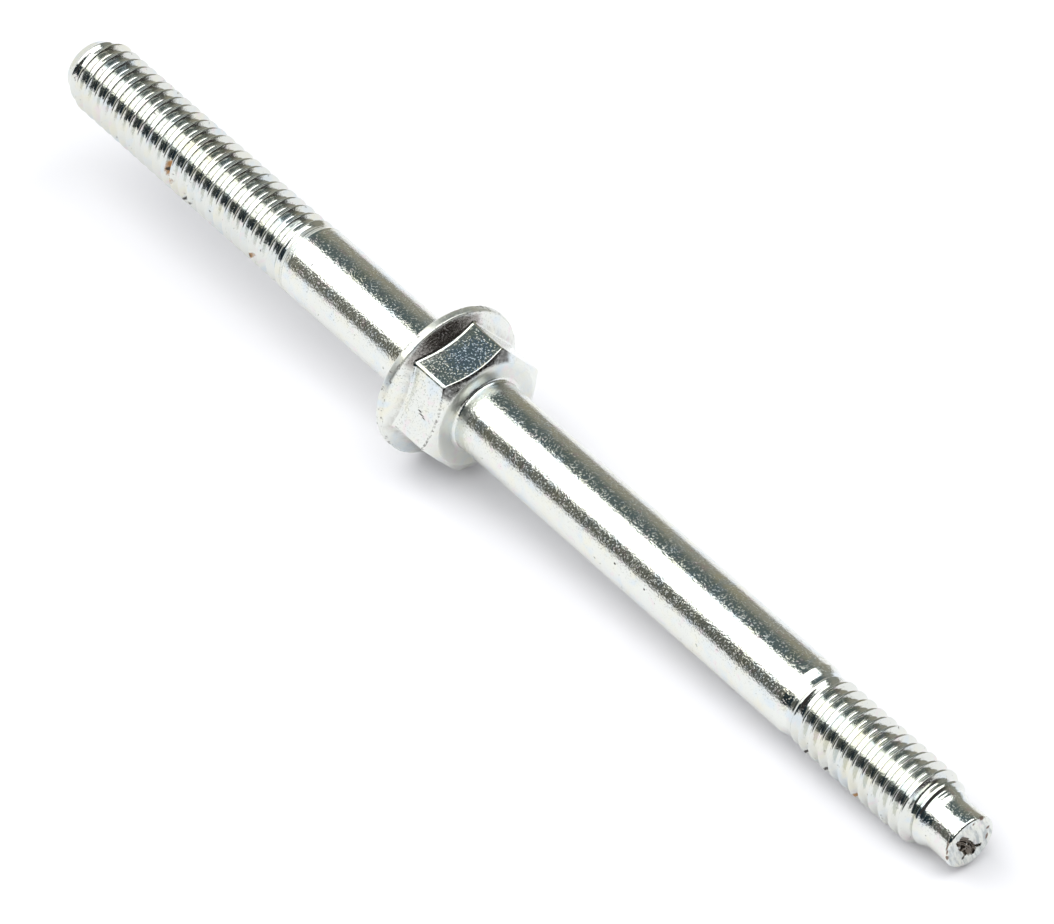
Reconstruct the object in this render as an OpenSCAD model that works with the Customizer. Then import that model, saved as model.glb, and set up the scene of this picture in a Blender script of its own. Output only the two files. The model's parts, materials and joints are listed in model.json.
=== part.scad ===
// Flanged stud bolt: one cold-formed and turned piece of zinc-plated steel.
// A hex collar with a built-in washer flange stands between a long threaded end and a
// plain reach that ends in a short thread and a round pilot point.
// The stud lies as it comes to rest: on the flange's rim and on the short thread's last crest.
// Both threads are drawn at their crest diameter.

/* [Threads] */
// Diameter over the thread crests, 5/16-18 UNC
thread_d = 7.75; // [6.5:0.05:9]

/* [Long threaded end] */
// From the flange's bearing face to the tip of the long thread
long_end_l = 56.5; // [45:0.5:90]
// Length of the long thread, with its chamfer and run-out
long_thread_l = 36.4; // [10:0.2:40]
// Diameter of the flat on the long tip
long_tip_d = 5.6; // [3:0.1:6.2]
// Length of the long tip's chamfer
long_chamfer_l = 2.25; // [0.5:0.05:4]
// Diameter of the plain shank between the long thread and the flange
shank_d = 7.94; // [6.5:0.02:9]
// Length of the step from the thread's run-out up to the shank
long_step_l = 0.6; // [0.1:0.05:1]
// Radius where the shank runs into the bearing face
bearing_fillet = 0.4; // [0.1:0.05:1]

/* [Hex collar] */
// Diameter of the flange
flange_d = 16.5; // [15.5:0.1:22]
// Height of the flange's rim above the bearing face
rim_h = 0.95; // [0.6:0.05:1.6]
// Radius on both edges of the rim
rim_round = 0.2; // [0.05:0.05:0.3]
// Slope of the flange's upper side, in degrees
flange_slope = 28; // [10:1:35]
// Width of the hex across its flats
hex_af = 12.5; // [11.8:0.1:13]
// From the bearing face to the hex's end face
collar_h = 6.6; // [5.5:0.1:12]
// Diameter of the flat end face inside the hex's chamfer
end_face_d = 11.5; // [10.6:0.1:11.8]
// Angle of the hex's chamfer from its end face, in degrees
chamfer_angle = 30; // [15:1:40]
// Turn of the hex about the stud's axis, from a corner straight up, in degrees
hex_turn = 40.5; // [0:0.5:60]
// Radius where the reach leaves the hex's end face
collar_fillet = 0.3; // [0.1:0.05:0.8]

/* [Reach] */
// Diameter of the plain reach between the collar and the short thread
reach_d = 7.85; // [7.4:0.05:9]
// Length of the reach
reach_l = 47.9; // [20:0.1:120]

/* [Short threaded end] */
// Length of the short thread, with its neck and run-out
short_thread_l = 16.75; // [8:0.05:40]
// Diameter of the neck that the thread runs out into
neck_d = 7.2; // [6:0.05:7.4]
// Length of the cone from the reach down to the neck
neck_cone_l = 0.9; // [0.3:0.05:2]
// Length of the neck
neck_l = 0.45; // [0.1:0.05:2]
// Length over which the thread rises to its full height
runout_l = 1.3; // [0.3:0.05:3]

/* [Pilot point] */
// Half angle of the cone that leads from the thread to the pilot, in degrees
point_angle = 17; // [10:1:45]
// Radius that blends the cone into the pilot
point_blend = 1.5; // [0.2:0.1:3]
// Diameter of the pilot
pilot_d = 5.6; // [4:0.1:6]
// Length of the pilot
pilot_l = 2.5; // [1:0.05:8]
// Radius on the pilot's edge
pilot_round = 0.3; // [0.05:0.05:0.8]
// Diameter of the forming dimple in the pilot's end
dimple_d = 2.2; // [0.5:0.1:3]
// Depth of the forming dimple
dimple_depth = 0.35; // [0.1:0.05:1]

/* [Hidden] */
$fn = 96;

// Straight pieces in each rounded edge
arc_steps = 6;
// How far a cut runs past the face it opens
overrun = 0.1;
// Width of the dimple's floor, as a share of its mouth
dimple_floor_share = 0.35;

thread_r = thread_d / 2;
shank_r = shank_d / 2;
flange_r = flange_d / 2;
reach_r = reach_d / 2;
neck_r = neck_d / 2;
pilot_r = pilot_d / 2;
end_face_r = end_face_d / 2;
hex_corner_r = hex_af / 2 / cos(30);

// Stations along the axis, measured from the bearing face towards the pilot
long_tip_x = -long_end_l;
long_runout_x = long_thread_l - long_end_l;
neck_x = collar_h + reach_l;
point_x = neck_x + short_thread_l;
blend_r = pilot_r + point_blend * (1 - cos(point_angle));
blend_x = point_x + (thread_r - blend_r) / tan(point_angle);
pilot_x = blend_x + point_blend * sin(point_angle);
pilot_tip_x = pilot_x + pilot_l;

// The core that carries the hex, and where the flange's slope meets it
core_r = reach_r + collar_fillet;
rim_arc_end = 90 - flange_slope;
rim_top_r = flange_r - rim_round + rim_round * cos(rim_arc_end);
rim_top_x = rim_h - rim_round + rim_round * sin(rim_arc_end);
core_x = rim_top_x + (rim_top_r - core_r) * tan(flange_slope);

// Rest on a table: the line that touches the rim's rounded edge and the thread's last crest
rim_arc_r = flange_r - rim_round;
rim_arc_x = rim_h - rim_round;
rest_run = point_x - rim_arc_x;
rest_drop = rim_arc_r - thread_r;
rest_tilt = atan2(rest_drop, rest_run) + asin(rim_round / norm([rest_run, rest_drop]));
rest_z = point_x * sin(rest_tilt) + thread_r * cos(rest_tilt);

// Both ends of the tilted stud, to centre it over the origin
left_reach = long_tip_x * cos(rest_tilt) - long_tip_d / 2 * sin(rest_tilt);
pilot_arc_r = pilot_r - pilot_round;
pilot_arc_x = pilot_tip_x - pilot_round;
right_reach = pilot_arc_x * cos(rest_tilt) + pilot_arc_r * sin(rest_tilt) + pilot_round;
centre_x = -(left_reach + right_reach) / 2;

// Points of a rounded edge, as [radius, station]
function arc(centre, r, from, to) = [
    for (i = [0 : arc_steps])
        let (a = from + (to - from) * i / arc_steps)
        centre + r * [cos(a), sin(a)]
];

// Half section of everything that is turned, as [radius, station]
turned_section = concat(
    [
        [0, long_tip_x],
        [long_tip_d / 2, long_tip_x],
        [thread_r, long_tip_x + long_chamfer_l],
        [thread_r, long_runout_x - long_step_l],
        [shank_r, long_runout_x]
    ],
    arc([shank_r + bearing_fillet, -bearing_fillet], bearing_fillet, 180, 90),
    arc([rim_arc_r, rim_round], rim_round, -90, 0),
    arc([rim_arc_r, rim_arc_x], rim_round, 0, rim_arc_end),
    [[core_r, core_x]],
    arc([core_r, collar_h + collar_fillet], collar_fillet, 270, 180),
    [
        [reach_r, neck_x],
        [neck_r, neck_x + neck_cone_l],
        [neck_r, neck_x + neck_cone_l + neck_l],
        [thread_r, neck_x + neck_cone_l + neck_l + runout_l],
        [thread_r, point_x]
    ],
    arc([pilot_r + point_blend, pilot_x], point_blend, 180 + point_angle, 180),
    arc([pilot_arc_r, pilot_arc_x], pilot_round, 0, 90),
    [[0, pilot_tip_x]]
);

// The cone that trims the hex's corners, as [radius, station]
chamfer_section = [
    [0, 0],
    [hex_corner_r, 0],
    [hex_corner_r, collar_h - (hex_corner_r - end_face_r) * tan(chamfer_angle)],
    [end_face_r, collar_h],
    [0, collar_h]
];

module hex_collar() {
    intersection() {
        translate([0, 0, rim_h / 2])
            rotate([0, 0, hex_turn])
                cylinder(h = collar_h - rim_h / 2, r = hex_corner_r, $fn = 6);
        rotate_extrude()
            polygon(chamfer_section);
    }
}

module dimple() {
    translate([0, 0, pilot_tip_x - dimple_depth])
        cylinder(
            h = dimple_depth + overrun,
            d1 = dimple_d * dimple_floor_share,
            d2 = dimple_d + overrun * dimple_d * (1 - dimple_floor_share) / dimple_depth
        );
}

// The whole stud, turned from its own axis onto the table
module stud_bolt() {
    color([0.80, 0.81, 0.80])
        translate([centre_x, 0, rest_z])
            rotate([0, 90 + rest_tilt, 0])
                difference() {
                    union() {
                        rotate_extrude()
                            polygon(turned_section);
                        hex_collar();
                    }
                    dimple();
                }
}

stud_bolt();
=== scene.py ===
import json
import math

import bmesh
import bpy
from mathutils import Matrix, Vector, noise


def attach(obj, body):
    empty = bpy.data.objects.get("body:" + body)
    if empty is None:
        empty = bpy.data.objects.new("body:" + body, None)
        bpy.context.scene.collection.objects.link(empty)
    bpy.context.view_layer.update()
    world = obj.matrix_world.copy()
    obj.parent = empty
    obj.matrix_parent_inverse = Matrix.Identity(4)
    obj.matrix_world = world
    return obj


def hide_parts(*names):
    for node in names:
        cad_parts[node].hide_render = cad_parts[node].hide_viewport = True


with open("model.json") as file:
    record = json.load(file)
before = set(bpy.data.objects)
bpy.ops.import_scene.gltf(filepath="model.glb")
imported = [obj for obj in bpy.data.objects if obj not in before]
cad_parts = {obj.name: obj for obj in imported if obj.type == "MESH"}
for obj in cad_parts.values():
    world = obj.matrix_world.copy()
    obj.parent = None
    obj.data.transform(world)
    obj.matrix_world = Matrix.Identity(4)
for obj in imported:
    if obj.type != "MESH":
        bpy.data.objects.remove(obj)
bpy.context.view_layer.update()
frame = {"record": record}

# Looks of the flanged stud bolt: one mesh with rolled threads, bright zinc plate, floor, light and camera.
# Stations run along the stud's axis from the flange's bearing face towards the pilot point.
# Angles run about that axis, right-handed, from straight up. Sizes are millimetres and degrees.
MM = 0.001
SIDES = 96

# Sizes that the solid has too; the flange is a hair smaller, so the mesh stays inside the solid's box
thread_r = 3.875
long_tip_x = -56.5
long_tip_r = 2.8
long_chamfer_l = 2.25
shank_r = 3.97
bearing_fillet = 0.4
flange_r = 8.235
rim_h = 0.95
rim_round = 0.2
flange_slope = 28.0
hex_af = 12.5
collar_h = 6.6
end_face_r = 5.75
chamfer_angle = 30.0
hex_turn = 40.5
collar_fillet = 0.3
reach_r = 3.925
neck_x = 54.5
neck_r = 3.6
neck_cone_l = 0.9
pilot_r = 2.8
pilot_tip_x = 77.49
pilot_round = 0.3

# Thread form, 5/16-18 UNC: flanks at 60 degrees, flat crests and round roots
pitch = 25.4 / 18
flank_angle = math.radians(60)
flank_slope = math.tan(flank_angle)
root_round = 0.36
root_half = root_round * math.sin(flank_angle)
bowl_depth = root_round * (1 - math.cos(flank_angle))
crest_half = pitch / 16
crest_edge = 0.02
thread_depth = (pitch / 2 - crest_half - root_half) * flank_slope + bowl_depth

# Radius of a cone that bounds nothing, and whole turns that keep a phase above zero
open_radius = 50.0
phase_lift = 100.0

# Where the mesh has its rows, from the middle of a crest to the middle of a root, in pitches
row_places = (
    0.0, 0.052, 0.066, 0.088, 0.15, 0.215,
    0.5 - root_half / pitch, 0.334, 0.389, 0.445, 0.5,
)
rows_per_pitch = 2 * (len(row_places) - 1)

# Station of one crest of each thread, at the angle where the rings begin
long_crest_x = -52.5
short_crest_x = 57.52

# Where each thread's grooves begin and where they are full, and the fine ridges at their ends
long_plain_x = -19.7
long_full_x = -23.0
short_plain_x = 55.9
short_full_x = 57.1
long_ridges = (-21.5, -19.75)
neck_ridges = (55.6, 56.9)
point_ridges = (72.9, 74.0)
ridges_per_pitch = 3
ridge_height = 0.02

# Point cone as the thread's last turns leave it
point_x = 71.9
point_angle = 24.0
point_blend = 1.5

# Edges that only the looks need
tip_edge_round = 0.5
hex_corner_round = 0.5
cone_fillet = 0.25
chamfer_edge = 0.1
pilot_flare = 0.04
end_trim = 0.01

# Steps in the hex's rounded corners, in its fillet and its chamfer's edge, and along the pilot's flare
corner_steps = 3
fillet_steps = 4
edge_steps = 3
flare_steps = 5

# Rings of the mesh: beside an edge, along a cylinder, on the flat faces and on the neck's cone
hold = 0.04
ring_gap = 2.0
tip_face_rings = (0.7, 1.4)
bearing_face_ring = 6.0
hex_face_ring = 5.2
round_face_ring = 4.8
neck_shares = (0.06, 0.94, 1.0)

# Points closer together than this are welded
weld_gap = 0.002

# The two directions across the stud that the photograph shows best: its upper outline and its near side
upper_angle = -55.36
near_angle = 34.64

# Torn hollow in the pilot's end: its middle and half sizes towards the upper outline and the near side
gash_middle = (-0.48, 0.05)
gash_half = (0.72, 1.95)
gash_depth = 0.4
gash_step = 0.12
gash_squareness = 3
gash_ragged = 0.22
gash_wall = 0.25
gash_floor = 0.75
gash_rough = 0.9
gash_tears = (
    (Vector((0.0, -0.9)), Vector((0.5, -1.6))),
    (Vector((-1.0, -0.7)), Vector((-1.5, -0.85))),
)
tear_half = 0.17

# Camera of the photograph: where its axis meets the floor, how far away it stands, and its lens
view_azimuth = 51.113
view_elevation = 40.759
view_distance = 863.342
view_target = Vector((-3.1, 4.457, 0.0))
camera_lens = 306.171
camera_sensor = 36.0
camera_clip = (0.01, 100.0)

# Two flat softboxes at one height above the floor; their edges are given in heights from above the stud
softbox_height = 900.0
near_softbox = {"left": -1.3, "right": 0.85, "near": -1.2, "far": 0.05}
far_softbox = {"left": -0.03, "right": 0.85, "near": 0.05, "far": 1.0}
softbox_radiance = 2.3
softbox_colour = (1.0, 1.0, 0.975)

# The dim studio around them: overhead, far wall, camera side, the dark right end and the pale left end
overhead_dim = (0.106, 0.138, 0.142)
far_dim = (0.32, 0.31, 0.26)
near_dim = (0.015, 0.026, 0.034)
right_dark = (0.045, 0.04, 0.038)
left_pale = (1.0, 1.0, 0.96)

# Where the far wall, the overhead part and both ends begin and are full, as cosines of their directions
far_range = (-0.4, 0.3)
overhead_range = (0.38, 0.75)
right_range = (0.55, 0.85)
left_range = (0.6, 0.85)

# White sheet under the stud: it ends beyond the stud on one side, and lies just below the lowest point
sheet_size = 12000.0
sheet_edge = 430.0
sheet_edge_side = 40.0
floor_gap = 0.01
floor_white = (0.86, 0.852, 0.897)
floor_glow = (0.96, 0.955, 1.0)
floor_lift = 0.07
floor_rough = 0.9


# The stud's own axis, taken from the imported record's mounts
def mount(name):
    """The record's mount of that name."""
    return next(m for m in frame["record"]["mounts"] if m["name"] == name)


axis = Vector(mount("short_thread")["axis"]).normalized()
on_axis = Vector(mount("short_thread")["pos_m"])
on_face = Vector(mount("bearing_face")["pos_m"])
base = on_axis - axis * (on_axis - on_face).dot(axis)
side = axis.cross(Vector((0, 0, 1))).normalized()
up = side.cross(axis)


def place(x, r, angle):
    """A point at a station, radius and angle, in metres in the row frame."""
    a = math.radians(angle)
    return base + MM * (axis * x + (up * math.cos(a) + side * math.sin(a)) * r)


def arc(centre_x, centre_r, radius, start, end, steps=5):
    """(station, radius) points of a rounded edge; 0 degrees points outwards and 90 towards the pilot."""
    points = []
    for i in range(steps + 1):
        a = math.radians(start + (end - start) * i / steps)
        points.append((centre_x + radius * math.sin(a), centre_r + radius * math.cos(a)))
    return points


def run(start_x, end_x, r):
    """(station, radius) points along a plain cylinder, with holding rings near both ends."""
    count = max(1, round((end_x - start_x) / ring_gap))
    inner = [start_x + (end_x - start_x) * i / count for i in range(1, count)]
    return [(x, r) for x in [start_x, start_x + hold, *inner, end_x - hold, end_x]]


def round_ring(x, r):
    """A round ring of evenly spaced points."""
    return [(x, r, hex_turn + 360.0 * j / SIDES) for j in range(SIDES)]


def hex_ring(x, r):
    """A round ring whose points stand at the angles of the hex's outline."""
    return [(x, r, math.degrees(math.atan2(p.y, p.x))) for p, n in hex_outline()]


# Hex collar
def hex_outline():
    """(point, outward direction) pairs round the rounded hex, in its cross-section."""
    half = hex_af / 2
    tangent = hex_corner_round * math.tan(math.radians(30))
    flat_half = half * math.tan(math.radians(30)) - tangent
    flat_steps = SIDES // 6 - 2 * corner_steps
    corner_step = 30 / corner_steps
    points = []
    for k in range(6):
        facing = math.radians(hex_turn + 30 + 60 * k)
        out = Vector((math.cos(facing), math.sin(facing)))
        along = Vector((-out.y, out.x))
        corner = out * (half - hex_corner_round)
        for i in range(corner_steps):
            a = math.radians(-30 + corner_step * i)
            normal = out * math.cos(a) + along * math.sin(a)
            points.append((corner - along * flat_half + normal * hex_corner_round, normal))
        for i in range(flat_steps + 1):
            w = -flat_half + 2 * flat_half * i / flat_steps
            if i == 1:
                w = -flat_half + hold
            if i == flat_steps - 1:
                w = flat_half - hold
            points.append((out * half + along * w, out))
        for i in range(1, corner_steps):
            a = math.radians(corner_step * i)
            normal = out * math.cos(a) + along * math.sin(a)
            points.append((corner + along * flat_half + normal * hex_corner_round, normal))
    return points


def cone_x(r):
    """Station of the flange's sloped side at a radius."""
    slope = math.radians(flange_slope)
    top_r = flange_r - rim_round + rim_round * math.sin(slope)
    top_x = rim_h - rim_round + rim_round * math.cos(slope)
    return top_x + (top_r - r) * math.tan(slope)


def chamfer_x(r):
    """Station of the hex's chamfer at a radius."""
    return collar_h - (r - end_face_r) * math.tan(math.radians(chamfer_angle))


def polar(x, p):
    """Station, radius and angle of a point in the cross-section."""
    return (x, p.length, math.degrees(math.atan2(p.y, p.x)))


def blend_rings(first, corner, last, steps):
    """Rings of a rounded edge between two surfaces, drawn by each point's three control points."""
    rings = []
    for i in range(steps + 1):
        t = i / steps
        ring = []
        for a, b, c in zip(first, corner, last):
            x = (1 - t) ** 2 * a[0] + 2 * t * (1 - t) * b[0] + t * t * c[0]
            p = (1 - t) ** 2 * a[1] + 2 * t * (1 - t) * b[1] + t * t * c[1]
            ring.append(polar(x, p))
        rings.append(ring)
    return rings


def hex_rings():
    """Rings of the hex, from its fillet on the flange's cone to its chamfer."""
    outline = hex_outline()
    foot = [(cone_x(p.length), p) for p, n in outline]
    on_cone = []
    for p, n in outline:
        q = p + n * cone_fillet
        on_cone.append((cone_x(q.length), q))
    on_flat = [(x + cone_fillet, p) for x, p in foot]
    rings = [[polar(cone_x(p.length + hold), p * (1 + hold / p.length)) for x, p in on_cone]]
    rings += blend_rings(on_cone, foot, on_flat, fillet_steps)
    edge = [(chamfer_x(p.length), p) for p, n in outline]
    below = [(x - chamfer_edge, p) for x, p in edge]
    beyond = []
    for p, n in outline:
        q = p - n * chamfer_edge
        beyond.append((chamfer_x(q.length), q))
    rings.append([polar(x + hold, p) for x, p in on_flat])
    rings.append([polar(x - hold, p) for x, p in below])
    rings += blend_rings(below, edge, beyond, edge_steps)
    inner = [(chamfer_x(p.length - hold), p * (1 - hold / p.length)) for x, p in beyond]
    rings.append([polar(x, p) for x, p in inner])
    return rings


# Body
def pilot_start_x():
    """Station where the point cone's blend runs into the pilot."""
    slope = math.radians(point_angle)
    blend_r = pilot_r + point_blend * (1 - math.cos(slope))
    blend_x = point_x + (thread_r - blend_r) / math.tan(slope)
    return blend_x + point_blend * math.sin(slope)


def lathe_rings():
    """Rings of the long tip's face, of the middle and of the pilot; the threads lie between them."""
    slope = math.radians(flange_slope)
    lean = math.atan2(thread_r - long_tip_r, long_chamfer_l)
    edge_r = long_tip_r - tip_edge_round * (1 - math.sin(lean)) / math.cos(lean)
    tip = [(long_tip_x, r) for r in (*tip_face_rings, edge_r - hold)]
    tip += arc(long_tip_x + tip_edge_round, edge_r, tip_edge_round, -90, -math.degrees(lean))

    shank = run(long_plain_x, -bearing_fillet, shank_r)
    shank += arc(-bearing_fillet, shank_r + bearing_fillet, bearing_fillet, -180, -270)[1:]
    shank += [(0.0, shank_r + bearing_fillet + hold), (0.0, bearing_face_ring)]
    face_r = flange_r - rim_round
    rim = [(0.0, face_r - hold)]
    rim += arc(rim_round, face_r, rim_round, -90, 0)
    rim += arc(rim_h - rim_round, face_r, rim_round, 0, 90 - flange_slope)
    top_r = face_r + rim_round * math.sin(slope)
    rim += [(cone_x(top_r - hold), top_r - hold)]
    face = [(chamfer_x(end_face_r + hold), end_face_r + hold)]
    face += [(collar_h, end_face_r - hold), (collar_h, hex_face_ring)]
    reach = [(collar_h, round_face_ring), (collar_h, reach_r + collar_fillet + hold)]
    reach += arc(collar_h + collar_fillet, reach_r + collar_fillet, collar_fillet, -90, -180)
    reach += run(collar_h + collar_fillet + hold, neck_x, reach_r)
    for share in neck_shares:
        reach += [(neck_x + neck_cone_l * share, reach_r + (neck_r - reach_r) * share)]
    rings = [round_ring(x, r) for x, r in shank]
    rings += [hex_ring(x, r) for x, r in rim]
    rings += hex_rings()
    rings += [hex_ring(x, r) for x, r in face]
    rings += [round_ring(x, r) for x, r in reach]

    tip_x = pilot_tip_x - end_trim
    pilot_x = pilot_start_x()
    pilot = arc(pilot_x, pilot_r + point_blend, point_blend, 180 + point_angle, 180)
    flare_x = tip_x - pilot_round
    flared_r = pilot_r + pilot_flare
    for i in range(1, flare_steps):
        t = i / flare_steps
        pilot.append((pilot_x + (flare_x - pilot_x) * t, pilot_r + pilot_flare * t * t))
    pilot += arc(flare_x, flared_r - pilot_round, pilot_round, 0, 90)
    ends = [round_ring(x, r) for x, r in pilot]
    count = round((flared_r - pilot_round) / gash_step)
    for i in range(1, count):
        r = (flared_r - pilot_round) * (1 - i / count)
        ends.append([(x - gash(r, angle), r, angle) for x, r, angle in round_ring(tip_x, r)])
    return [round_ring(x, r) for x, r in tip], rings, ends


def from_line(p, start, end):
    """Distance of a point from a short line."""
    along = end - start
    share = min(max((p - start).dot(along) / along.length_squared, 0.0), 1.0)
    return (p - start - along * share).length


def gash(r, angle):
    """Depth of the torn hollow at a place on the pilot's end: a ragged block with a few tears."""
    v = r * math.cos(math.radians(angle - upper_angle))
    w = r * math.cos(math.radians(angle - near_angle))
    across = abs(v - gash_middle[0]) / gash_half[0]
    along = abs(w - gash_middle[1]) / gash_half[1]
    away = (across ** gash_squareness + along ** gash_squareness) ** (1 / gash_squareness)
    for start, end in gash_tears:
        away = min(away, from_line(Vector((v, w)), start, end) / tear_half)
    ragged = noise.noise((v * 1.8, w * 1.4, 3.1)) + 0.5 * noise.noise((v * 4.5, w * 3.5, 7.7))
    inside = min(max((1.0 - away - gash_ragged * ragged) / gash_wall, 0.0), 1.0)
    rough = gash_floor + gash_rough * noise.noise((v * 3.2, w * 2.2, 1.3))
    return gash_depth * inside * inside * (3 - 2 * inside) * rough


def skin(bm, rings, cap_first=False, cap_last=False):
    """Faces between rings, with a pole in the middle of a capped end."""
    rows = [[bm.verts.new(place(*p)) for p in ring] for ring in rings]
    for low, high in zip(rows, rows[1:]):
        for j in range(SIDES):
            k = (j + 1) % SIDES
            bm.faces.new((low[j], low[k], high[k], high[j]))
    for capped, row, ring in ((cap_first, rows[0], rings[0]), (cap_last, rows[-1], rings[-1])):
        if capped:
            pole = bm.verts.new(place(ring[0][0], 0.0, 0.0))
            for j in range(SIDES):
                bm.faces.new((pole, row[j], row[(j + 1) % SIDES]))


def body_mesh():
    """The plain stretches of the stud, and the (station, radius, angle) where each thread joins them."""
    tip, middle, pilot = lathe_rings()
    bm = bmesh.new()
    skin(bm, tip, cap_first=True)
    skin(bm, middle)
    skin(bm, pilot, cap_last=True)
    mesh = bpy.data.meshes.new("stud_body")
    bm.to_mesh(mesh)
    bm.free()
    return mesh, (tip[-1][0], middle[0][0], middle[-1][0], pilot[0][0])


# Node trees
class Tree:
    """A node tree with short calls for the nodes that the threads and the finishes need."""

    def __init__(self, tree):
        self.tree = tree
        self.nodes = tree.nodes
        self.links = tree.links

    def socket(self, name, kind, output=False):
        in_out = "OUTPUT" if output else "INPUT"
        return self.tree.interface.new_socket(name=name, in_out=in_out, socket_type=kind)

    def feed(self, socket, value):
        if isinstance(value, bpy.types.NodeSocket):
            self.links.new(value, socket)
        elif value is not None:
            socket.default_value = value

    def node(self, kind, *values, **settings):
        node = self.nodes.new(kind)
        for key, value in settings.items():
            setattr(node, key, value)
        for socket, value in zip(node.inputs, values):
            self.feed(socket, value)
        return node

    def math(self, operation, *values):
        return self.node("ShaderNodeMath", *values, operation=operation).outputs[0]

    def times(self, first, *others):
        """The product of several values."""
        product = first
        for value in others:
            product = self.math("MULTIPLY", product, value)
        return product

    def vector_math(self, operation, *values):
        return self.node("ShaderNodeVectorMath", *values, operation=operation).outputs[0]

    def scaled(self, vector, factor):
        node = self.node("ShaderNodeVectorMath", vector, operation="SCALE")
        self.feed(node.inputs["Scale"], factor)
        return node.outputs[0]

    def dot(self, a, b):
        return self.node("ShaderNodeVectorMath", a, b, operation="DOT_PRODUCT").outputs["Value"]

    def length(self, vector):
        return self.node("ShaderNodeVectorMath", vector, operation="LENGTH").outputs["Value"]

    def noise(self, where, scale, detail=2.0, roughness=0.5):
        node = self.node("ShaderNodeTexNoise", noise_dimensions="3D")
        values = {"Vector": where, "Scale": scale, "Detail": detail, "Roughness": roughness}
        for name, value in values.items():
            self.feed(node.inputs[name], value)
        return node.outputs["Fac"]

    def smooth(self, value, low, high, to_low=0.0, to_high=1.0):
        """A soft step from one value to another while the input goes from low to high."""
        node = self.node("ShaderNodeMapRange", interpolation_type="SMOOTHSTEP")
        values = {"Value": value, "From Min": low, "From Max": high, "To Min": to_low, "To Max": to_high}
        for name, value in values.items():
            self.feed(node.inputs[name], value)
        return node.outputs[0]

    def mix(self, factor, first, second):
        """A mix of two colours; the node has its colours at inputs 6 and 7 and its result at output 2."""
        node = self.node("ShaderNodeMix", data_type="RGBA")
        for socket, value in ((node.inputs[0], factor), (node.inputs[6], first), (node.inputs[7], second)):
            if isinstance(value, tuple):
                value = (*value, 1.0)
            self.feed(socket, value)
        return node.outputs[2]


# Geometry nodes: one tree winds a thread between two stations and is used for both threads
thread_inputs = (
    ("Rows", "NodeSocketInt"),
    ("First Row", "NodeSocketInt"),
    ("Start", "NodeSocketFloat"),
    ("End", "NodeSocketFloat"),
    ("Crest Mark", "NodeSocketFloat"),
    ("Blank Radius", "NodeSocketFloat"),
    ("Plain At", "NodeSocketFloat"),
    ("Full At", "NodeSocketFloat"),
    ("Start Radius", "NodeSocketFloat"),
    ("Start Slope", "NodeSocketFloat"),
    ("Start Full", "NodeSocketFloat"),
    ("End Radius", "NodeSocketFloat"),
    ("End Slope", "NodeSocketFloat"),
    ("End Full", "NodeSocketFloat"),
    ("Plain Ridges From", "NodeSocketFloat"),
    ("Plain Ridges To", "NodeSocketFloat"),
    ("Point Ridges From", "NodeSocketFloat"),
    ("Point Ridges To", "NodeSocketFloat"),
)


def ridges(t, phase, station, low, high):
    """Fine ridges along the helix between two stations, as heights."""
    wave = t.math("SINE", t.math("MULTIPLY", phase, 2 * math.pi * ridges_per_pitch))
    edge = pitch / ridges_per_pitch
    rising = t.smooth(station, low, t.math("ADD", low, edge))
    falling = t.smooth(station, high, t.math("SUBTRACT", high, edge))
    return t.times(wave, rising, falling, ridge_height)


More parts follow.
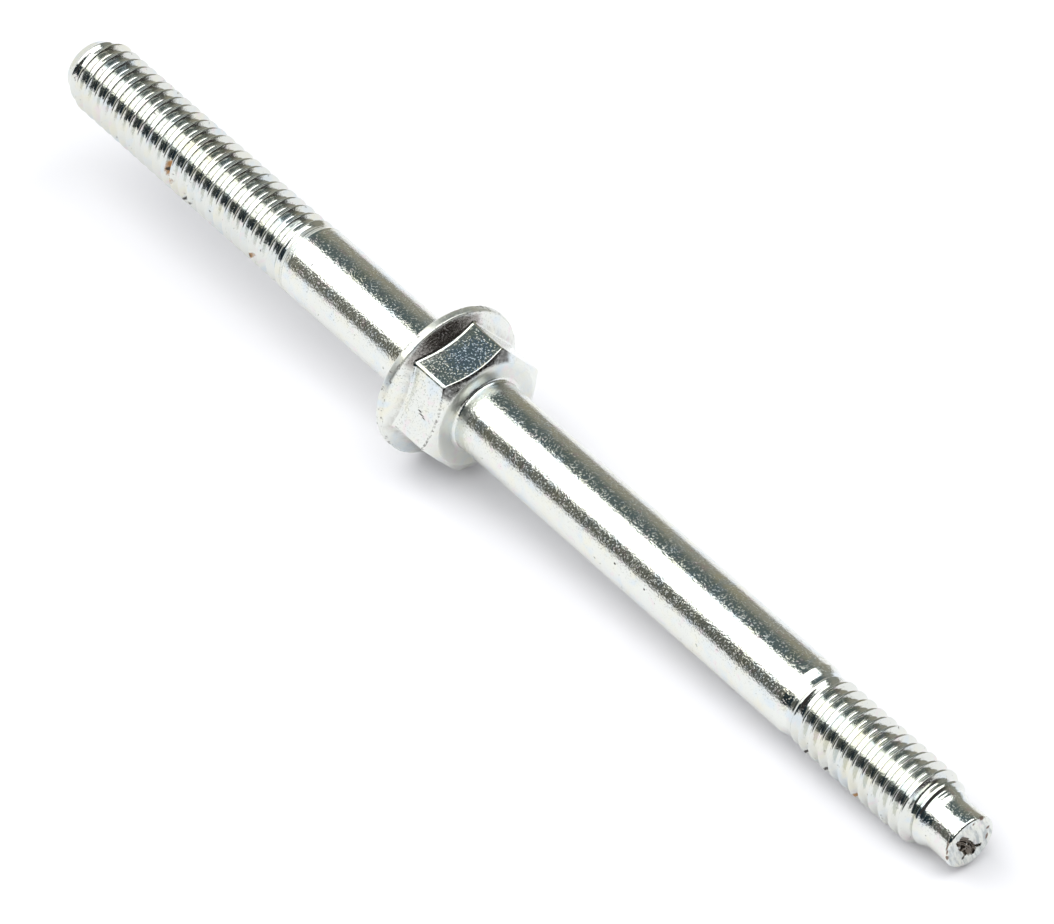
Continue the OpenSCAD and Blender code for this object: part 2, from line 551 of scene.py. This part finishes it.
def thread_tree():
    """A tube whose rows follow the helix, so that crests and roots are clean; its ends are plain rings."""
    t = Tree(bpy.data.node_groups.new("rolled_thread", "GeometryNodeTree"))
    for name, kind in thread_inputs:
        t.socket(name, kind)
    t.socket("Thread", "NodeSocketGeometry", output=True)
    given = t.node("NodeGroupInput").outputs

    grid = t.node("GeometryNodeMeshGrid", None, None, given["Rows"], SIDES + 1)
    index = t.node("GeometryNodeInputIndex").outputs[0]
    row = t.math("FLOOR", t.math("DIVIDE", t.math("ADD", index, 0.5), SIDES + 1.0))
    column = t.math("SUBTRACT", index, t.math("MULTIPLY", row, SIDES + 1.0))
    turn = t.math("DIVIDE", column, float(SIDES))
    angle = t.math("MULTIPLY_ADD", turn, 2 * math.pi, math.radians(hex_turn))

    # Station of each point, held between the two ends
    row_turn = t.math("DIVIDE", t.math("ADD", row, given["First Row"]), float(rows_per_pitch))
    whole = t.math("FLOOR", t.math("ADD", row_turn, 0.5 / rows_per_pitch))
    spaced = t.node("ShaderNodeFloatCurve", 1.0, t.math("SUBTRACT", row_turn, whole))
    points = spaced.mapping.curves[0].points
    both_sides = [*row_places, *[1 - x for x in reversed(row_places[:-1])]]
    for i in range(1, rows_per_pitch):
        points.new(i / rows_per_pitch, both_sides[i])
    for point in points:
        point.handle_type = "VECTOR"
    spaced.mapping.update()
    row_turn = t.math("ADD", whole, spaced.outputs[0])
    winding = t.math("MULTIPLY", t.math("ADD", row_turn, turn), pitch)
    station = t.math("ADD", winding, given["Crest Mark"])
    station = t.math("MINIMUM", t.math("MAXIMUM", station, given["Start"]), given["End"])

    # Thread form: height of the point above the root, first in the round root and then on the flank
    turns = t.math("DIVIDE", t.math("SUBTRACT", station, given["Crest Mark"]), pitch)
    phase = t.math("FRACT", t.math("ADD", t.math("SUBTRACT", turns, turn), phase_lift))
    off_root = t.math("MULTIPLY", t.math("ABSOLUTE", t.math("SUBTRACT", phase, 0.5)), pitch)
    squared = t.math("SUBTRACT", root_round ** 2, t.math("MULTIPLY", off_root, off_root))
    bowl = t.math("SUBTRACT", root_round, t.math("SQRT", t.math("MAXIMUM", squared, 0.0)))
    flank = t.math("MULTIPLY_ADD", t.math("SUBTRACT", off_root, root_half), flank_slope, bowl_depth)
    in_bowl = t.math("LESS_THAN", off_root, root_half)
    height = t.math("MULTIPLY_ADD", t.math("SUBTRACT", bowl, flank), in_bowl, flank)
    height = t.math("SMOOTH_MIN", height, thread_depth, crest_edge)
    cut = t.math("SUBTRACT", thread_depth, height)

    # Radius: the thread fades into the blank at its run-out, and cones bound it at its ends
    fade = t.smooth(station, given["Plain At"], given["Full At"])
    full = t.math("SUBTRACT", thread_r, cut)
    rise = t.math("MULTIPLY", t.math("SUBTRACT", full, given["Blank Radius"]), fade)
    radius = t.math("ADD", given["Blank Radius"], rise)
    from_start = t.math("SUBTRACT", station, given["Start"])
    start_cone = t.math("MULTIPLY_ADD", from_start, given["Start Slope"], given["Start Radius"])
    start_cut = t.math("MULTIPLY", cut, t.smooth(station, given["Start"], given["Start Full"]))
    start_cone = t.math("SUBTRACT", start_cone, start_cut)
    to_end = t.math("SUBTRACT", given["End"], station)
    end_cone = t.math("MULTIPLY_ADD", to_end, given["End Slope"], given["End Radius"])
    end_cut = t.math("MULTIPLY", cut, t.smooth(station, given["End"], given["End Full"]))
    end_cone = t.math("SUBTRACT", end_cone, end_cut)
    radius = t.math("MINIMUM", t.math("MINIMUM", radius, start_cone), end_cone)
    for name in ("Plain", "Point"):
        fine = ridges(t, phase, station, given[f"{name} Ridges From"], given[f"{name} Ridges To"])
        radius = t.math("ADD", radius, fine)

    # Place in the row frame
    outwards = t.vector_math(
        "ADD",
        t.scaled(tuple(up), t.math("COSINE", angle)),
        t.scaled(tuple(side), t.math("SINE", angle)),
    )
    offset = t.vector_math("ADD", t.scaled(tuple(axis), station), t.scaled(outwards, radius))
    position = t.vector_math("ADD", t.scaled(offset, MM), tuple(base))
    placed = t.node("GeometryNodeSetPosition", grid.outputs["Mesh"])
    t.feed(placed.inputs["Position"], position)
    welded = t.node("GeometryNodeMergeByDistance", placed.outputs[0])
    welded.inputs["Distance"].default_value = weld_gap * MM
    t.node("NodeGroupOutput", welded.outputs[0])
    return t.tree


def stud_tree(material, wound, threads):
    """Joins the body with its wound threads into one skin."""
    t = Tree(bpy.data.node_groups.new("stud_bolt", "GeometryNodeTree"))
    t.socket("Body", "NodeSocketGeometry")
    for name in threads:
        for key, kind in thread_inputs:
            t.socket(f"{name} {key}", kind)
    t.socket("Stud", "NodeSocketGeometry", output=True)
    given = t.node("NodeGroupInput").outputs
    joined = t.node("GeometryNodeJoinGeometry")
    t.links.new(given["Body"], joined.inputs[0])
    for name in threads:
        group = t.node("GeometryNodeGroup", node_tree=wound)
        for key, kind in thread_inputs:
            t.links.new(given[f"{name} {key}"], group.inputs[key])
        t.links.new(group.outputs[0], joined.inputs[0])
    welded = t.node("GeometryNodeMergeByDistance", joined.outputs[0])
    welded.inputs["Distance"].default_value = weld_gap * MM
    smooth = t.node("GeometryNodeSetShadeSmooth", welded.outputs[0])
    real = t.node("GeometryNodeRealizeInstances", smooth.outputs[0])
    painted = t.node("GeometryNodeSetMaterial", real.outputs[0])
    painted.inputs["Material"].default_value = material
    t.node("NodeGroupOutput", painted.outputs[0])
    return t.tree


def thread_values(start, end, crest, blank, fade, start_cone, end_cone, plain_ridges, end_ridges):
    """Inputs of one thread; a cone is its radius at that end, its slope, and where the groove is full."""
    first = math.floor((start - crest) * rows_per_pitch / pitch) - rows_per_pitch
    last = math.ceil((end - crest) * rows_per_pitch / pitch) + rows_per_pitch
    return {
        "Rows": last - first + 1,
        "First Row": first,
        "Start": start,
        "End": end,
        "Crest Mark": crest,
        "Blank Radius": blank,
        "Plain At": fade[0],
        "Full At": fade[1],
        "Start Radius": start_cone[0],
        "Start Slope": start_cone[1],
        "Start Full": start_cone[2],
        "End Radius": end_cone[0],
        "End Slope": end_cone[1],
        "End Full": end_cone[2],
        "Plain Ridges From": plain_ridges[0],
        "Plain Ridges To": plain_ridges[1],
        "Point Ridges From": end_ridges[0],
        "Point Ridges To": end_ridges[1],
    }


def make_stud(material):
    """The whole stud as one closed mesh."""
    mesh, (tip_end, shank_start, neck_end, pilot_start) = body_mesh()
    chamfer = (thread_r - long_tip_r) / long_chamfer_l
    point = math.tan(math.radians(point_angle))
    open_start = (open_radius, 0.0, short_full_x)
    open_end = (open_radius, 0.0, long_full_x)
    no_ridges = (long_tip_x - pitch, long_tip_x - pitch)
    threads = {
        "Long": thread_values(
            tip_end[0], shank_start[0], long_crest_x, shank_r,
            (long_plain_x, long_full_x),
            (tip_end[1], chamfer, long_tip_x + long_chamfer_l), open_end,
            long_ridges, no_ridges,
        ),
        "Short": thread_values(
            neck_end[0], pilot_start[0], short_crest_x, neck_r,
            (short_plain_x, short_full_x),
            open_start, (pilot_start[1], point, point_x),
            neck_ridges, point_ridges,
        ),
    }
    tree = stud_tree(material, thread_tree(), threads)
    source = bpy.data.objects.new("stud_source", mesh)
    bpy.context.scene.collection.objects.link(source)
    modifier = source.modifiers.new("wind_threads", "NODES")
    modifier.node_group = tree
    sockets = {s.name: s.identifier for s in tree.interface.items_tree if s.in_out == "INPUT"}
    for name, values in threads.items():
        for key, value in values.items():
            modifier[sockets[f"{name} {key}"]] = value
    shown = source.evaluated_get(bpy.context.evaluated_depsgraph_get())
    plain = bpy.data.meshes.new_from_object(shown)
    source.modifiers.clear()
    bpy.data.objects.remove(source)
    bm = bmesh.new()
    bm.from_mesh(plain)
    bmesh.ops.recalc_face_normals(bm, faces=bm.faces)
    bm.to_mesh(plain)
    bm.free()
    plain.name = "stud"
    stud = bpy.data.objects.new("stud", plain)
    bpy.context.scene.collection.objects.link(stud)
    return stud


# Finish: bright zinc plate
zinc = (0.77, 0.786, 0.74)
zinc_warm = (0.795, 0.785, 0.67)
zinc_cool = (0.69, 0.75, 0.775)
zinc_rose = (0.785, 0.72, 0.72)
zinc_blue = (0.42, 0.55, 0.72)
face_grey = (0.46, 0.49, 0.49)
# Colour of the painted shade in the corner between flange and hex
corner_shade_colour = (0.33, 0.31, 0.285)
# Colour of the painted dark reflection on the collar's upper side
painted_dark_reflection = (0.15, 0.15, 0.145)
rust = (0.45, 0.235, 0.085)
soot = (0.045, 0.038, 0.034)
torn_steel = (0.15, 0.13, 0.11)
tarnish = (0.15, 0.08, 0.05)

# How much darker the threads are painted, as painted shade, and how strongly each film, mark and painted
# reflection covers the plate
thread_painted_shade = 0.07
blue_cover = 0.6
brown_cover = 0.85
nick_cover = 0.7
pit_cover = 0.6
torn_cover = 0.6
painted_reflection_cover = 0.9

# Roughness of the plate, and what clouds, turned faces and marks add to it
plate_rough = 0.085
cloud_rough = 0.07
face_rough = 0.22
mark_rough = 0.4

# Grain of the plate, and how much calmer it is on the collar and on the threads
grain_scale = 4.6
grain_height = 0.025
fleck_scale = 5.0
fleck_height = 0.34
calmer = 0.65

# Radii where the collar's plate begins, where the rods' pits end, and where the pilot's end face begins
collar_range = (4.1, 4.5)
rod_range = (4.2, 4.0)
pilot_face_range = (2.75, 2.6)

# Streaks on the pilot's end: how far they lean and how much they are drawn out
streak_lean = 0.25
streak_stretch = 0.25

# Marks on the plate: station, angle, radius, and half sizes along, around and outwards
rust_spots = (
    (-38.95, 75.0, 3.4, 0.5, 0.6, 0.7),
    (-38.8, 84.0, 3.4, 0.7, 0.8, 0.8),
    (-38.6, 94.0, 3.5, 0.7, 0.6, 0.8),
    (-25.6, 103.0, 3.65, 0.5, 0.55, 0.7),
    (65.3, 124.0, 3.8, 0.5, 0.45, 0.6),
)
dark_specks = (
    (-39.1, 84.0, 3.45, 0.28, 0.3, 0.6),
    (-25.55, 103.0, 3.7, 0.28, 0.28, 0.5),
    (-36.1, 116.0, 3.75, 0.6, 0.4, 0.5),
    (-35.5, 108.0, 3.75, 0.4, 0.3, 0.5),
    (58.2, 124.0, 3.8, 0.7, 0.3, 0.5),
    (61.05, 124.0, 3.8, 0.45, 0.35, 0.5),
    (30.66, 73.5, 3.93, 0.16, 0.12, 0.3),
    (34.99, 73.1, 3.93, 0.14, 0.12, 0.3),
    (3.95, 73.2, 6.26, 0.3, 0.09, 0.3),
    (4.35, 75.2, 6.27, 0.4, 0.08, 0.3),
    (4.7, 76.6, 6.28, 0.25, 0.08, 0.3),
)
tarnish_spots = (
    (77.1, 62.0, 2.82, 0.07, 0.35, 0.3),
    (77.24, 71.0, 2.8, 0.1, 0.5, 0.3),
    (77.36, 83.0, 2.75, 0.08, 0.4, 0.3),
    (77.38, 98.0, 2.74, 0.13, 0.35, 0.3),
    (77.4, -25.0, 2.72, 0.2, 0.4, 0.3),
    (77.48, -68.0, 2.19, 0.3, 0.2, 0.24),
    (77.48, -98.0, 2.0, 0.3, 0.4, 0.16),
    (77.48, -3.6, 2.33, 0.3, 0.16, 0.2),
)
blue_patches = ((4.4, 4.0, 6.3, 2.0, 2.6, 1.5),)

# How ragged the marks' outlines are, and where a mark begins and is full, in half sizes
spot_ragged = 0.8
tarnish_ragged = 0.9
patch_ragged = 2.2
spot_rim = (1.1, 0.6)

# The near flat with the torn line, and the upper flat with the painted dark reflection beside it
torn_flat_angle = hex_turn + 30
upper_flat_angle = hex_turn - 30


def stud_frame(t):
    """Object coordinates as millimetres in the stud's own frame: station, across, up."""
    where = t.node("ShaderNodeTexCoord").outputs["Object"]
    start = Vector((axis.dot(base), base.y, up.dot(base)))
    mapping = t.node("ShaderNodeMapping", where)
    mapping.inputs["Location"].default_value = -start / MM
    mapping.inputs["Rotation"].default_value = (0.0, math.atan2(axis.z, axis.x), 0.0)
    mapping.inputs["Scale"].default_value = (1 / MM, 1 / MM, 1 / MM)
    return mapping.outputs[0]


def towards(t, where, angle):
    """How far each point lies out towards an angle."""
    a = math.radians(angle)
    return t.dot(where, (0.0, -math.sin(a), math.cos(a)))


def above_chamfer(t, station, out):
    """How far each point lies beyond the hex's chamfer, along the axis."""
    chamfer = t.math("MULTIPLY_ADD", out, -math.tan(math.radians(chamfer_angle)), chamfer_x(0.0))
    return t.math("SUBTRACT", station, chamfer)


def above_cone(t, station, out):
    """How far each point lies beyond the flange's sloped side, along the axis."""
    cone = t.math("MULTIPLY_ADD", out, -math.tan(math.radians(flange_slope)), cone_x(0.0))
    return t.math("SUBTRACT", station, cone)


def spots(t, where, places, ragged):
    """A mask of ragged spots at the given places."""
    wobble = t.math("MULTIPLY_ADD", t.noise(where, 3.0, 3.0, 0.6), ragged, -0.5 * ragged)
    mask = 0.0
    for x, angle, r, along, around, outwards in places:
        a = math.radians(angle)
        centre = (x, -r * math.sin(a), r * math.cos(a))
        offset = t.vector_math("SUBTRACT", where, centre)
        beside = t.math("DIVIDE", t.dot(offset, (1.0, 0.0, 0.0)), along)
        about = t.math("DIVIDE", t.dot(offset, (0.0, -math.cos(a), -math.sin(a))), around)
        out = t.math("DIVIDE", towards(t, offset, angle), outwards)
        joined = t.node("ShaderNodeCombineXYZ", beside, about, out).outputs[0]
        away = t.math("ADD", t.length(joined), wobble)
        mask = t.math("MAXIMUM", mask, t.smooth(away, *spot_rim))
    return mask


def zinc_colour(t, where):
    """Zinc with the faint warm, blue and rose tints of its passivation."""
    warm = t.smooth(t.noise(where, 0.45, 3.0), 0.45, 0.75)
    cool = t.smooth(t.noise(t.vector_math("ADD", where, (40.0, 0.0, 0.0)), 0.5, 3.0), 0.48, 0.72)
    rose = t.smooth(t.noise(t.vector_math("ADD", where, (0.0, 60.0, 0.0)), 0.8, 3.0), 0.55, 0.75)
    colour = t.mix(warm, zinc, zinc_warm)
    colour = t.mix(cool, colour, zinc_cool)
    return t.mix(rose, colour, zinc_rose)


def threaded_ends(t, station):
    """A mask of both threads."""
    long_thread = t.smooth(station, long_plain_x - 0.4, long_plain_x - 1.4)
    short_thread = t.times(
        t.smooth(station, short_plain_x - 0.5, short_plain_x),
        t.smooth(station, point_x + 2.5, point_x + 1.0),
    )
    return t.math("MAXIMUM", long_thread, short_thread)


def painted_reflection_side(t, where):
    """The sixth of the collar round its upper flat, where a dark reflection is painted."""
    outwards = towards(t, where, upper_flat_angle)
    sideways = t.math("ABSOLUTE", towards(t, where, upper_flat_angle + 90))
    past_corner = t.math("MULTIPLY_ADD", outwards, -math.tan(math.radians(30)), sideways)
    return t.times(t.smooth(past_corner, 1.3, 0.5), t.smooth(outwards, 4.0, 4.6))


def chamfer_painted_reflection(t, where, station, out):
    """Painted dark reflection on the chamfer beside the upper flat; the chamfer's own edges stay bright.
    """
    half = hex_af / 2
    film = t.times(
        t.smooth(t.math("ABSOLUTE", above_chamfer(t, station, out)), 0.12, 0.05),
        t.smooth(out, end_face_r + 0.02, end_face_r + 0.3),
        t.smooth(towards(t, where, upper_flat_angle), half - 0.07, half - 0.17),
    )
    patchy = t.smooth(t.noise(where, 2.4, 3.0, 0.6), 0.3, 0.6, 0.55, 1.0)
    return t.times(film, painted_reflection_side(t, where), patchy)


def painted_corner_shade(t, where, station, out):
    """Painted shade in the corner where the flange meets the hex, patchy, and a painted dark reflection
    beside the upper flat.
    """
    half = hex_af / 2
    nearest = 0.0
    for k in range(3):
        outwards = t.math("ABSOLUTE", towards(t, where, hex_turn + 30 + 60 * k))
        nearest = t.math("MAXIMUM", nearest, outwards)
    on_cone = t.times(
        t.smooth(above_cone(t, station, out), 0.3, 0.1),
        t.smooth(station, rim_h / 2, rim_h),
        t.smooth(nearest, half + 0.1, half + 0.2),
    )
    close = t.smooth(nearest, half + 1.1, half + 0.2)
    patchy = t.times(close, t.smooth(t.noise(where, 1.6, 3.0, 0.6), 0.3, 0.7, 0.1, 0.5))
    inside_rim = t.smooth(out, flange_r - 0.15, flange_r - 0.5, 0.0, painted_reflection_cover)
    painted_dark = t.times(painted_reflection_side(t, where), inside_rim)
    return t.times(on_cone, t.math("MAXIMUM", patchy, painted_dark))


def torn_edge(t, where, station, out):
    """Broken dark line along the chamfer's edge on the near flat."""
    half = hex_af / 2
    on_flat = t.smooth(towards(t, where, torn_flat_angle), half - 0.16, half - 0.1)
    at_edge = t.smooth(above_chamfer(t, station, out), -0.2, -0.12)
    broken = t.smooth(t.noise(where, 3.2, 3.0, 0.7), 0.47, 0.58, 0.0, torn_cover)
    return t.times(on_flat, at_edge, broken)


def dark_marks(t, where, station, out, rim):
    """Specks and scratches, nicks on the rim, the near flat's torn line, and fine pits."""
    nicks = t.smooth(t.noise(where, 2.2, 3.0, 0.6), 0.56, 0.66, 0.0, nick_cover)
    elsewhere = t.vector_math("ADD", where, (0.0, 0.0, 90.0))
    pits = t.smooth(t.noise(elsewhere, 2.4, 1.0), 0.73, 0.79, 0.0, pit_cover)
    pits = t.times(pits, t.smooth(out, *rod_range))
    marks = spots(t, where, dark_specks, spot_ragged)
    for mark in (t.times(rim, nicks), torn_edge(t, where, station, out), pits):
        marks = t.math("MAXIMUM", marks, mark)
    return marks


def streaks(t, where):
    """Drawn-out streaks across the pilot's end."""
    v = towards(t, where, upper_angle)
    w = towards(t, where, near_angle)
    across = t.math("MULTIPLY_ADD", w, -streak_lean, v)
    along = t.math("MULTIPLY", w, streak_stretch)
    stretched = t.node("ShaderNodeCombineXYZ", across, along, 0.0).outputs[0]
    return t.smooth(t.noise(stretched, 1.8, 3.0, 0.6), 0.42, 0.66)


def pilot_end_colour(t, where, station, out, colour, browned):
    """Streaks on the pilot's end, tarnish on its edge, and bare steel in its torn hollow."""
    tip_x = pilot_tip_x - end_trim
    face = t.times(t.smooth(out, *pilot_face_range), t.smooth(station, tip_x - 1.0, tip_x - 0.9))
    torn = t.times(face, t.smooth(station, tip_x - 0.03, tip_x - 0.14))
    colour = t.mix(t.times(face, streaks(t, where)), colour, face_grey)
    colour = t.mix(browned, colour, tarnish)
    return t.mix(torn, colour, torn_steel)


def grain_bump(t, where, collar, threaded):
    """Fine grain of the plate, with a few flecks."""
    grain = t.noise(where, grain_scale, 2.0, 0.5)
    grain = t.times(grain, t.math("MULTIPLY_ADD", collar, -calmer, 1.0))
    flecks = t.smooth(t.noise(where, fleck_scale, 2.0, 0.5), 0.58, 0.68, 0.0, fleck_height)
    grain = t.math("ADD", grain, flecks)
    grain = t.times(grain, t.math("MULTIPLY_ADD", threaded, -calmer, 1.0))
    bump = t.node("ShaderNodeBump")
    bump.inputs["Strength"].default_value = 1.0
    bump.inputs["Distance"].default_value = grain_height * MM
    t.feed(bump.inputs["Height"], grain)
    return bump.outputs[0]


def zinc_plate():
    """Bright zinc with its films, marks, clouds and grain, and painted shade and dark reflection on the
    collar and threads.
    """
    material = bpy.data.materials.new("bright_zinc")
    material.use_nodes = True
    t = Tree(material.node_tree)
    shader = t.nodes["Principled BSDF"]
    where = stud_frame(t)
    station = t.node("ShaderNodeSeparateXYZ", where).outputs[0]
    out = t.length(t.vector_math("MULTIPLY", where, (0.0, 1.0, 1.0)))

    # Where the pieces and the marks lie
    collar = t.smooth(out, *collar_range)
    end_face = t.times(collar, t.smooth(station, collar_h - 0.12, collar_h - 0.03))
    rim = t.smooth(out, flange_r - 0.25, flange_r - 0.15)
    threaded = threaded_ends(t, station)
    rusted = spots(t, where, rust_spots, spot_ragged)
    specks = dark_marks(t, where, station, out, rim)
    dull = t.math("MAXIMUM", rusted, specks)
    browned = t.times(spots(t, where, tarnish_spots, tarnish_ragged), brown_cover)
    blued = t.times(spots(t, where, blue_patches, patch_ragged), blue_cover)

    # Threads painted darker all over, as painted shade
    colour = t.scaled(zinc_colour(t, where), t.math("MULTIPLY_ADD", threaded, -thread_painted_shade, 1.0))
    colour = t.mix(blued, colour, zinc_blue)
    # Painted shade in the corner between flange and hex, and painted dark reflection beside the upper flat
    colour = t.mix(painted_corner_shade(t, where, station, out), colour, corner_shade_colour)
    # Painted dark reflection on the chamfer beside the upper flat
    colour = t.mix(chamfer_painted_reflection(t, where, station, out), colour, painted_dark_reflection)
    colour = pilot_end_colour(t, where, station, out, colour, browned)
    colour = t.mix(rusted, colour, rust)
    colour = t.mix(specks, colour, soot)
    t.feed(shader.inputs["Base Color"], colour)
    t.feed(shader.inputs["Metallic"], t.math("SUBTRACT", 1.0, dull))

    rough = t.math("MULTIPLY_ADD", t.noise(where, 0.9, 3.0), cloud_rough, plate_rough)
    rough = t.math("MULTIPLY_ADD", t.math("MAXIMUM", end_face, rim), face_rough, rough)
    rough = t.math("MULTIPLY_ADD", t.math("MAXIMUM", dull, browned), mark_rough, rough)
    t.feed(shader.inputs["Roughness"], rough)
    t.feed(shader.inputs["Normal"], grain_bump(t, where, collar, threaded))
    return material


def white_floor():
    """White floor that keeps the shadow; what the camera and the metal see of it is lifted a little."""
    material = bpy.data.materials.new("white_floor")
    material.use_nodes = True
    t = Tree(material.node_tree)
    shader = t.nodes["Principled BSDF"]
    shader.inputs["Base Color"].default_value = (*floor_white, 1.0)
    shader.inputs["Roughness"].default_value = floor_rough
    shader.inputs["Specular IOR Level"].default_value = 0.0
    ray = t.node("ShaderNodeLightPath").outputs
    seen = t.math("MAXIMUM", ray["Is Camera Ray"], ray["Is Glossy Ray"])
    seen = t.math("MAXIMUM", seen, ray["Is Transmission Ray"])
    shader.inputs["Emission Color"].default_value = (*floor_glow, 1.0)
    t.feed(shader.inputs["Emission Strength"], t.math("MULTIPLY", seen, floor_lift))
    return material


# Floor, light and camera
def make_floor():
    """The sheet as one flat face."""
    bm = bmesh.new()
    a = math.radians(sheet_edge_side)
    out = Vector((math.cos(a), math.sin(a), 0.0))
    along = Vector((-out.y, out.x, 0.0))
    low = Vector((0.0, 0.0, -floor_gap))
    corners = []
    for far, half in ((0, -0.5), (0, 0.5), (-1, 0.5), (-1, -0.5)):
        corners.append(out * (sheet_edge + far * sheet_size) + along * half * sheet_size + low)
    bm.faces.new([bm.verts.new(corner * MM) for corner in corners])
    mesh = bpy.data.meshes.new("floor")
    bm.to_mesh(mesh)
    bm.free()
    mesh.materials.append(white_floor())
    floor = bpy.data.objects.new("floor", mesh)
    bpy.context.scene.collection.objects.link(floor)


def make_softbox(name, left, right, near, far):
    """A flat lamp that faces straight down."""
    size = softbox_height * MM
    lamp = bpy.data.lights.new(name, "AREA")
    lamp.shape = "RECTANGLE"
    lamp.size = (right - left) * size
    lamp.size_y = (far - near) * size
    lamp.energy = softbox_radiance * math.pi * lamp.size * lamp.size_y
    lamp.color = softbox_colour
    softbox = bpy.data.objects.new(name, lamp)
    softbox.location = ((left + right) / 2 * size, (near + far) / 2 * size, size)
    softbox.visible_camera = False
    bpy.context.scene.collection.objects.link(softbox)


def make_world():
    """The dim studio that the metal mirrors, warmer towards the far wall and pale at the left end."""
    world = bpy.data.worlds.new("studio")
    world.use_nodes = True
    t = Tree(world.node_tree)
    way = t.node("ShaderNodeTexCoord").outputs["Generated"]
    height = t.dot(way, (0.0, 0.0, 1.0))
    a = math.radians(view_azimuth)
    far = t.dot(way, (-math.sin(a), math.cos(a), 0.0))
    colour = t.mix(t.smooth(far, *far_range), near_dim, far_dim)
    colour = t.mix(t.smooth(height, *overhead_range), colour, overhead_dim)
    colour = t.mix(t.smooth(t.dot(way, (1.0, 0.0, 0.0)), *right_range), colour, right_dark)
    colour = t.mix(t.smooth(t.dot(way, (-1.0, 0.0, 0.0)), *left_range), colour, left_pale)
    t.feed(t.nodes["Background"].inputs["Color"], colour)
    bpy.context.scene.world = world


def make_camera():
    """The photograph's camera."""
    a = math.radians(view_azimuth)
    e = math.radians(view_elevation)
    back = Vector((math.sin(a) * math.cos(e), -math.cos(a) * math.cos(e), math.sin(e)))
    data = bpy.data.cameras.new("camera")
    data.lens = camera_lens
    data.sensor_width = camera_sensor
    data.sensor_fit = "HORIZONTAL"
    data.clip_start = camera_clip[0]
    data.clip_end = camera_clip[1]
    camera = bpy.data.objects.new("camera", data)
    camera.location = (view_target + back * view_distance) * MM
    camera.rotation_mode = "QUATERNION"
    camera.rotation_quaternion = (-back).to_track_quat("-Z", "Y")
    bpy.context.scene.collection.objects.link(camera)
    bpy.context.scene.camera = camera


stud = make_stud(zinc_plate())
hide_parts("stud_bolt")
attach(stud, "root")
make_floor()
make_softbox("near_softbox", **near_softbox)
make_softbox("far_softbox", **far_softbox)
make_world()
make_camera()
bpy.context.scene.view_settings.view_transform = "Standard"
